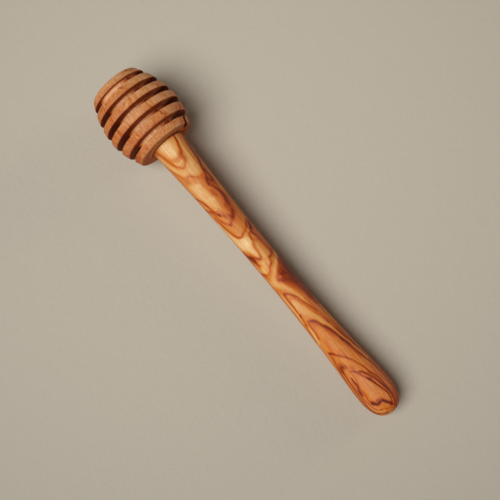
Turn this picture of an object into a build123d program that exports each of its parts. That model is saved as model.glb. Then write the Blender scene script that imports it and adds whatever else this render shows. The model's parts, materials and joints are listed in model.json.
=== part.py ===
from build123d import *
import math
import os

# A honey dipper of two turned pieces: a grooved head and a handle whose tenon is glued into it.
# Lengths are in millimetres and angles in degrees.
# Each piece is drawn along X from the joint: the head runs towards -X, the handle towards +X.

os.makedirs("parts", exist_ok=True)

# Barrel of the head.
head_widest_diameter = 30.5
head_tip_diameter = 20.4
head_seat_diameter = 23.9
widest_from_seat = 12.6
head_taper_diameter = 27.7
head_taper_length = 4.9
core_diameter = 19.7

# Rings and the grooves between them, listed from the tip to the seat.
ring_width = 3.15
ring_width_shares = [1.00, 1.05, 0.95, 1.00, 1.02, 0.87]
groove_width = 2.35
groove_width_shares = [0.91, 1.06, 1.02, 1.02, 0.91]
tip_edge_ease = 0.5

# Glued joint: a drilled socket in the head and a tenon on the handle.
tenon_diameter = 8.0
tenon_length = 16.0
tenon_end_ease = 0.8
glue_clearance = 0.05
socket_end_gap = 1.0

# The socket is drilled a little off the head's axis and a little askew.
handle_offset = 0.6
handle_lean = 1.5

# Handle: it narrows from the neck to a waist, swells again and ends in a round butt.
handle_length = 129.8
neck_diameter = 13.4
waist_diameter = 9.5
waist_from_seat = 62.4
swell_diameter = 13.8
swell_from_seat = 119.4
shoulder_ease = 0.25
shoulder_trim = 1.0

# Where, from the waist to the swell, the handle's hollow curve turns into its full one.
turning_share = 0.88

# How far the butt's curve keeps its direction, from the swell along X and from the end outwards.
butt_fullness_shares = [0.74, 0.57]

# One overrun for every cut that runs out of its piece.
overrun = 2.0

# Rounds of tipping that lay the finished dipper on the table.
settling_rounds = 4


def rings():
    # Each ring's start and end along X, from the tip to the seat.
    ring_widths = [ring_width * share for share in ring_width_shares]
    groove_widths = [groove_width * share for share in groove_width_shares]
    start = -sum(ring_widths) - sum(groove_widths)
    spans = []
    for width, gap in zip(ring_widths, groove_widths + [0]):
        spans.append((start, start + width))
        start += width + gap
    return spans


def barrel_section(tip_x):
    # Half of the barrel without its grooves: two arcs that meet level at the widest place,
    # and a straight taper to the seat.
    widest = (-widest_from_seat, head_widest_diameter / 2)
    tip = (tip_x, head_tip_diameter / 2)
    taper = (-head_taper_length, head_taper_diameter / 2)
    seat = (0, head_seat_diameter / 2)
    outline = Curve() + [
        TangentArc(widest, tip, tangent=(-1, 0)),
        TangentArc(widest, taper, tangent=(1, 0)),
        Polyline(taper, seat, (0, 0), (tip_x, 0), tip),
    ]
    return make_face(outline)


def slab(start, end, height):
    # A rectangle that stands on the axis.
    return Pos((start + end) / 2, height / 2) * Rectangle(end - start, height)


def socket_frame():
    # The handle's axis as the head holds it: shifted sideways and turned at the joint.
    return Pos(0, handle_offset, 0) * Rot(0, 0, -handle_lean)


def socket():
    # The flat-ended hole for the tenon, open past the seat.
    radius = tenon_diameter / 2 + glue_clearance
    depth = tenon_length + socket_end_gap
    return socket_frame() * revolve(slab(-depth, overrun, radius), Axis.X)


def dipper_head():
    # The rings stand on a core, all turned from one blank, and the socket is drilled into it.
    spans = rings()
    tip_x, first_groove_x = spans[0]
    barrel = barrel_section(tip_x)
    tip_rim = barrel.vertices().group_by(Axis.X)[0].sort_by(Axis.Y)[-1]
    barrel = chamfer(tip_rim, tip_edge_ease)
    section = slab(first_groove_x, 0, core_diameter / 2)
    for start, end in spans:
        section += barrel & slab(start, end, head_widest_diameter)
    return revolve(section, Axis.X) - socket()


def between(first, second, share):
    # The point that lies this share of the way from the first point to the second.
    return tuple(a + share * (b - a) for a, b in zip(first, second))


def handle_section():
    # Half of the handle's blank, in arcs that run smoothly into each other.
    neck = (-shoulder_trim, neck_diameter / 2)
    waist = (waist_from_seat, waist_diameter / 2)
    swell = (swell_from_seat, swell_diameter / 2)
    end = (handle_length, 0)
    turning = between(waist, swell, turning_share)
    butt = handle_length - swell_from_seat
    outline = Curve() + [
        TangentArc(waist, neck, tangent=(-1, 0)),
        TangentArc(waist, turning, tangent=(1, 0)),
        TangentArc(swell, turning, tangent=(-1, 0)),
        Bezier(
            swell,
            (swell_from_seat + butt_fullness_shares[0] * butt, swell[1]),
            (handle_length, butt_fullness_shares[1] * swell[1]),
            end,
        ),
        Polyline(end, (-shoulder_trim, 0), neck),
    ]
    return make_face(outline)


def tenon():
    # The round tenon with its eased end, run a little into the handle so that they are one piece.
    radius = tenon_diameter / 2
    outline = Polyline(
        (overrun, 0),
        (overrun, radius),
        (tenon_end_ease - tenon_length, radius),
        (-tenon_length, radius - tenon_end_ease),
        (-tenon_length, 0),
        close=True,
    )
    return revolve(make_face(outline), Axis.X)


def handle():
    # The blank's end is trimmed to lie flat on the head's seat, and its rim is eased.
    blank = socket_frame() * revolve(handle_section(), Axis.X)
    body = split(blank, bisect_by=Plane.YZ, keep=Keep.TOP)
    body = chamfer(body.faces().sort_by(Axis.X)[0].edges(), shoulder_ease)
    return body + socket_frame() * tenon()


def lay_down(pieces):
    # Turns the handle along X, then tips the dipper until head and butt both touch the table.
    pieces = [socket_frame().inverse() * piece for piece in pieces]
    span = swell_from_seat + widest_from_seat
    tipping = 0
    for _ in range(settling_rounds):
        lows = [(Rot(0, tipping, 0) * piece).bounding_box().min.Z for piece in pieces]
        tipping += math.degrees(math.atan((lows[1] - lows[0]) / span))
    pieces = [Rot(0, tipping, 0) * piece for piece in pieces]
    box = Compound(pieces).bounding_box()
    place = Pos(-box.center().X, -box.center().Y, -box.min.Z)
    return [place * piece for piece in pieces]


names = ["dipper_head", "handle"]
laid = lay_down([dipper_head(), handle()])
for name, piece in zip(names, laid):
    export_step(piece, f"parts/{name}.step")
    print(name, round(piece.volume), piece.bounding_box())
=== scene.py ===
import json
import math

import bpy
import numpy as np
from mathutils import Matrix, Vector


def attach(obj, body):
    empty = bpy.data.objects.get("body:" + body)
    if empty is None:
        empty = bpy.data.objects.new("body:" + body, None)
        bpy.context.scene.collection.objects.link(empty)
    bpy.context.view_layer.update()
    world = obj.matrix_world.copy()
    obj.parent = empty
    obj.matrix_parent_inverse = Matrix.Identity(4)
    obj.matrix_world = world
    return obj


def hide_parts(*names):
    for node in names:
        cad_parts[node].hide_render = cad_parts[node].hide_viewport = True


# Honey dipper of olive wood: a grooved head glued onto a turned handle, lying on a pale surface.
# Lengths are in metres, apart from names that end in Mm; angles are in degrees.

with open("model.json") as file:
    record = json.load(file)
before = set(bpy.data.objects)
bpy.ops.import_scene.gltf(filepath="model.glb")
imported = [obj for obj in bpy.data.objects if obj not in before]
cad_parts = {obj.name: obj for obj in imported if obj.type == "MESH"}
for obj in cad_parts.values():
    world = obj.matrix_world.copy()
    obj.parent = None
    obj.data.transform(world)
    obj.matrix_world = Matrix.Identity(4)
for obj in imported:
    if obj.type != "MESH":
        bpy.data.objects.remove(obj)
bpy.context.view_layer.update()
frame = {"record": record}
print("frame loaded")


def unit(vector):
    return np.array(vector, float) / np.linalg.norm(vector)


def placeFromRecord():
    # the tip face's axis is the head's, backwards; the handle lies along X and is tipped about Y
    tipFace = next(m for m in frame["record"]["mounts"] if m["name"] == "tip_face")
    alongHead = unit([-part for part in tipFace["axis"]])
    lean = math.asin(alongHead[1])
    tipping = math.atan2(-alongHead[2], alongHead[0])
    up = np.array([math.sin(tipping), 0, math.cos(tipping)])
    alongHandle = np.array([math.cos(tipping), 0, -math.sin(tipping)])
    side = np.array([0.0, 1.0, 0.0])
    sideHead = math.cos(lean) * side - math.sin(lean) * alongHandle
    tip = np.array(tipFace["pos_m"], float)
    return tip, (alongHead, sideHead, up), (alongHandle, side, up), tipping


tipPoint, headAxes, handleAxes, tipping = placeFromRecord()


def turned(centre, axes, along, radius, turn):
    # surface of revolution: centre + along * axis + radius * (sine of turn * side + cosine of turn * up)
    axis, side, up = axes
    along = along.reshape(len(along), -1)
    radius = radius.reshape(len(radius), -1)
    spoke = np.sin(turn)[:, None] * side + np.cos(turn)[:, None] * up
    return centre + along[..., None] * axis + radius[..., None] * spoke


def levelArc(x, level, end):
    # an arc that is level at one point and passes through another:
    # height = level height + or - (radius - square root of (radius squared - distance squared)),
    # where the arc's radius = (run squared + rise squared) / (2 * rise)
    run, rise = end[0] - level[0], end[1] - level[1]
    arcRadius = (run * run + rise * rise) / (2 * rise)
    drop = np.sqrt(np.maximum(arcRadius ** 2 - (x - level[0]) ** 2, 0))
    return level[1] + arcRadius - np.sign(rise) * drop


def easedOutline(corners, eases, steps):
    # every corner becomes a short curve: corner + ease * ((1 - t) squared * way back + t squared * way on)
    points, eases = np.array(corners), np.array(eases)[:, None, None]
    back = np.vstack([points[:1], points[:-1]]) - points
    onward = np.vstack([points[1:], points[-1:]]) - points
    back /= np.maximum(np.linalg.norm(back, axis=1), 1e-9)[:, None]
    onward /= np.maximum(np.linalg.norm(onward, axis=1), 1e-9)[:, None]
    t = np.linspace(0, 1, steps)[None, :, None]
    curve = points[:, None] + eases * ((1 - t) ** 2 * back[:, None] + t ** 2 * onward[:, None])
    curve = curve.reshape(-1, 2)
    apart = np.linalg.norm(np.diff(curve, axis=0), axis=1) > 1e-6
    return curve[np.concatenate([[True], apart])]


def resampled(outline, longest):
    # long straight stretches get points between their ends, so that no step is longer than this
    steps = np.linalg.norm(np.diff(outline, axis=0), axis=1)
    counts = np.maximum(np.ceil(steps / longest), 1)
    places = np.concatenate([[0], np.cumsum(counts)])
    wanted = np.arange(places[-1] + 1)
    return np.stack([np.interp(wanted, places, outline[:, k]) for k in (0, 1)], axis=1)


def closedSurface(name, rows, fields=None):
    # the first and the last row shrink to one point each; the rows between are joined by four-sided faces
    count, columns = rows.shape[:2]
    vertices = np.vstack([rows[:1, 0], rows[1:-1].reshape(-1, 3), rows[-1:, 0]])
    index = 1 + np.arange((count - 2) * columns).reshape(count - 2, columns)
    after = np.roll(index, -1, axis=1)
    quads = np.stack([index[:-1], index[1:], after[1:], after[:-1]], axis=-1).reshape(-1, 4)
    last = len(vertices) - 1
    startFan = np.stack([np.zeros_like(index[0]), index[0], after[0]], axis=-1)
    endFan = np.stack([index[-1], np.full_like(index[0], last), after[-1]], axis=-1)
    mesh = bpy.data.meshes.new(name)
    mesh.from_pydata(vertices.tolist(), [], startFan.tolist() + quads.tolist() + endFan.tolist())
    mesh.polygons.foreach_set("use_smooth", np.ones(len(mesh.polygons), bool))
    for fieldName, values in (fields or {}).items():
        values = np.concatenate([values[:1, :1].ravel(), values[1:-1].ravel(), values[-1:, :1].ravel()])
        layer = mesh.attributes.new(fieldName, "FLOAT", "POINT")
        layer.data.foreach_set("value", values.astype(np.float32))
    mesh.update()
    piece = bpy.data.objects.new(name, mesh)
    bpy.context.scene.collection.objects.link(piece)
    print(name, "has", len(vertices), "vertices")
    return piece


headSettings = {
    "widestRadius": 0.01525,
    "tipRadius": 0.0102,
    "seatRadius": 0.01195,
    "taperRadius": 0.01385,
    "widestFromSeat": 0.0126,
    "taperLength": 0.0049,
    "coreRadius": 0.00985,
    "ringWidth": 0.00315,
    "ringShares": (1.00, 1.05, 0.95, 1.00, 1.02, 0.87),
    "grooveWidth": 0.00235,
    "grooveShares": (0.91, 1.06, 1.02, 1.02, 0.91),
    "ringEase": 0.00030,      # rounding of the rings' edges
    "footEase": 0.00025,      # rounding where a groove's side meets the core
    "tipEase": 0.00060,
    "finishDepth": 0.00002,   # what sanding takes off the drawn size
    "socketRadius": 0.00405,
    "socketDepth": 0.0170,
    "handleOffset": 0.0006,
    "rowsPerRing": 11,
    "rowsPerEase": 4,
    "easeClearance": 1.2,     # a ring's inner rows keep this many eases away from its edges
    "rowsOnSeat": 24,
    "longestStep": 0.0009,
    "columns": 320,
}


def ringSpans(s):
    # each ring's start and end, measured from the seat towards the tip as negative lengths
    rings = s["ringWidth"] * np.array(s["ringShares"])
    grooves = s["grooveWidth"] * np.array(s["grooveShares"] + (0,))
    starts = -rings.sum() - grooves.sum() + np.concatenate([[0], np.cumsum(rings + grooves)[:-1]])
    return np.stack([starts, starts + rings], axis=1)


def barrelRadius(x, s, tipX):
    # two arcs that meet level at the widest place, then a straight taper to the seat
    widest = (-s["widestFromSeat"], s["widestRadius"])
    taper = (-s["taperLength"], s["taperRadius"])
    tipSide = levelArc(x, widest, (tipX, s["tipRadius"]))
    seatSide = levelArc(x, widest, taper)
    straight = s["seatRadius"] - (s["taperRadius"] - s["seatRadius"]) * x / s["taperLength"]
    return np.where(x < widest[0], tipSide, np.where(x < taper[0], seatSide, straight))


def headOutline(s):
    # from the middle of the tip face over the rings to the seat's edge
    spans = ringSpans(s)
    tipX = spans[0, 0]
    clear, innerRows = s["easeClearance"], s["rowsPerRing"] - 2
    corners, eases = [(tipX, 0.0)], [0.0]
    for number, (start, end) in enumerate(spans):
        firstEase = s["tipEase"] if number == 0 else s["ringEase"]
        between = np.linspace(start + clear * firstEase, end - clear * s["ringEase"], innerRows)
        across = np.concatenate([[start], between, [end]])
        outside = barrelRadius(across, s, tipX) - s["finishDepth"]
        if number:
            corners.append((start, s["coreRadius"]))
            eases.append(s["footEase"])
        corners.extend(zip(across, outside))
        eases.extend([firstEase] + [0.0] * innerRows + [s["ringEase"]])
        if number < len(spans) - 1:
            corners.append((end, s["coreRadius"]))
            eases.append(s["footEase"])
    seatFace = np.linspace(s["seatRadius"], s["socketRadius"], s["rowsOnSeat"])[1:]
    corners.extend((0.0, radius) for radius in seatFace)
    eases.extend([0.0] * len(seatFace))
    return resampled(easedOutline(corners, eases, s["rowsPerEase"]), s["longestStep"])


def buildHead(s):
    # the outline is turned about the head's axis, and the drilled socket about the handle's axis closes it
    outline = headOutline(s)
    turn = np.linspace(0, 2 * np.pi, s["columns"], endpoint=False)
    headLength = -outline[0, 0]
    seat = tipPoint + headLength * headAxes[0]
    outside = turned(seat, headAxes, outline[:, 0], outline[:, 1], turn)
    joint = seat + s["handleOffset"] * headAxes[1]
    bore = np.array([(0.0, 1.0), (-1.0, 1.0), (-1.0, 0.0)]) * (s["socketDepth"], s["socketRadius"])
    inside = turned(joint, handleAxes, bore[:, 0], bore[:, 1], turn)
    inside[0] += handleAxes[0] * seatShift(joint, seat, s["socketRadius"], turn)[..., None]
    rim = barrelRadius(outline[:, 0], s, outline[0, 0])
    ringEnds = ringSpans(s)[:-1, 1] * 1000
    fields = headFigure(outline * 1000, np.degrees(turn), s["coreRadius"] * 1000, rim * 1000, ringEnds)
    # the socket's three rows take the values of the seat's inner edge
    fields = {key: np.concatenate([grid] + [grid[-1:]] * 2) for key, grid in fields.items()}
    head = closedSurface("dipper_head_wood", np.concatenate([outside[:-1], inside]), fields)
    return head, seat, joint


def seatShift(joint, seat, radius, turn):
    # how far along the handle's axis the seat's plane lies: minus (joint - seat + spoke) . n / (axis . n)
    axis, side, up = handleAxes
    n = headAxes[0]
    spoke = np.sin(turn)[:, None] * side + np.cos(turn)[:, None] * up
    return -((joint - seat) @ n + np.multiply.outer(radius, spoke @ n)) / (axis @ n)


handleSettings = {
    "length": 0.1298,
    "neckRadius": 0.0067,
    "waistRadius": 0.00475,
    "waistFromSeat": 0.0624,
    "swellRadius": 0.0069,
    "swellFromSeat": 0.1194,
    "neckTrim": 0.001,
    "turningShare": 0.88,
    "buttShares": (0.74, 0.57),
    "shoulderEase": 0.00030,
    "finishDepth": 0.00002,
    "tenonRadius": 0.0040,
    "tenonLength": 0.0160,
    "tenonEase": 0.0008,
    "settlingLength": 0.005,   # over this length the slanted shoulder fades into square sections
    "drawnSteps": (1200, 300),  # points of the drawn outline up to the swell and round the butt
    "rowsOnEase": 4,
    "rows": 440,
    "columns": 216,
}


def handleOutline(s):
    # hollow arc from the neck to the waist, hollow and full arcs to the swell, then the rounded butt
    neck = (-s["neckTrim"], s["neckRadius"])
    waist = (s["waistFromSeat"], s["waistRadius"])
    swell = (s["swellFromSeat"], s["swellRadius"])
    turning = tuple(a + s["turningShare"] * (b - a) for a, b in zip(waist, swell))
    bodySteps, buttSteps = s["drawnSteps"]
    x = np.linspace(0, swell[0], bodySteps)
    r = np.where(x < waist[0], levelArc(x, waist, neck), levelArc(x, waist, turning))
    r = np.where(x < turning[0], r, levelArc(x, swell, turning))
    # butt: (1-u)^3 * swell + 3 (1-u)^2 u * first lead + 3 (1-u) u^2 * second lead + u^3 * end
    u = np.linspace(0, 1, buttSteps)[1:, None]
    butt = s["length"] - swell[0]
    leads = [(swell[0] + s["buttShares"][0] * butt, swell[1]), (s["length"], s["buttShares"][1] * swell[1])]
    curve = (1 - u) ** 3 * np.array(swell) + 3 * (1 - u) ** 2 * u * np.array(leads[0])
    curve = curve + 3 * (1 - u) * u ** 2 * np.array(leads[1]) + u ** 3 * np.array([s["length"], 0.0])
    outline = np.vstack([np.stack([x, r], axis=1), curve])
    outline[:, 1] = np.maximum(outline[:, 1] - s["finishDepth"], 0)
    # evenly spaced along the curve
    far = np.concatenate([[0], np.cumsum(np.linalg.norm(np.diff(outline, axis=0), axis=1))])
    even = np.linspace(0, far[-1], s["rows"])
    return np.stack([np.interp(even, far, outline[:, k]) for k in (0, 1)], axis=1)


def buildHandle(s):
    # the outline is turned about the handle's axis; its shoulder follows the seat's plane, and the tenon
    # closes it inside the head
    body = handleOutline(s)
    turn = np.linspace(0, 2 * np.pi, s["columns"], endpoint=False)
    neck = body[0, 1]
    # shoulder's eased edge: the radius grows by the ease while the place moves on by the ease
    t = np.linspace(0, 1, s["rowsOnEase"], endpoint=False)
    ease = np.stack([s["shoulderEase"] * t ** 2, neck - s["shoulderEase"] * (1 - t) ** 2], axis=1)
    body = np.vstack([ease, body[body[:, 0] > s["shoulderEase"]]])
    fade = np.clip(1 - body[:, 0] / s["settlingLength"], 0, 1) ** 2
    along = body[:, :1] + fade[:, None] * seatShift(jointPoint, seatPoint, body[:, 1], turn)
    radius = np.repeat(body[:, 1:], s["columns"], axis=1)
    tenon = np.array([
        (-s["tenonLength"], 0.0),
        (-s["tenonLength"], s["tenonRadius"] - s["tenonEase"]),
        (s["tenonEase"] - s["tenonLength"], s["tenonRadius"]),
    ])
    tenonRadius = np.repeat(np.append(tenon[:, 1], s["tenonRadius"])[:, None], s["columns"], axis=1)
    shoulder = seatShift(jointPoint, seatPoint, np.array([s["tenonRadius"]]), turn)
    tenonAlong = np.vstack([np.repeat(tenon[:, :1], s["columns"], axis=1), shoulder])
    along, radius = np.vstack([tenonAlong, along]), np.vstack([tenonRadius, radius])
    rows = turned(jointPoint, handleAxes, along, radius, turn)
    fields = woodFigure(along * 1000, np.degrees(turn), radius * 1000)
    return closedSurface("handle_wood", rows, fields)


figureSettings = {
    "crownTurn": -18.0,       # the layers' crown, degrees from the top
    "crestMm": 66.0,          # where the layers dip deepest below the surface
    "crestSoftMm": 4.0,
    "climb": 0.16,            # millimetres of layers per millimetre along the crown
    "wanderMm": 0.35,
    "wanderWaves": 9,
    "strokeWanderMm": 0.07,
    "strokeWanderTurn": 0.7,
    "strokeWaves": 14,
    "flankFrom": 34.0,        # degrees from the crown where the thin lines begin
    "flankFade": 26.0,
    "seed": 4,
}

# tone of the growth layers by depth in millimetres, from the far side to the crown: 0 dark, 1 cream
layerTones = [
    (-15, 0.52), (-13.6, 0.62), (-13.0, 0.38), (-12.5, 0.57), (-11.6, 0.68), (-11.0, 0.64), (-10.5, 0.32),
    (-10.2, 0.52), (-9.4, 0.60), (-8.7, 0.37), (-8.3, 0.28), (-7.8, 0.52), (-7.0, 0.62), (-6.2, 0.56),
    (-5.6, 0.42), (-5.1, 0.55), (-4.4, 0.52), (-3.9, 0.40), (-3.4, 0.50), (-2.6, 0.56), (-2.0, 0.50),
    (-1.4, 0.48), (-0.8, 0.54), (0.0, 0.57), (1.0, 0.60), (2.0, 0.56), (3.0, 0.60), (4.5, 0.57), (10, 0.58),
]

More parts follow.
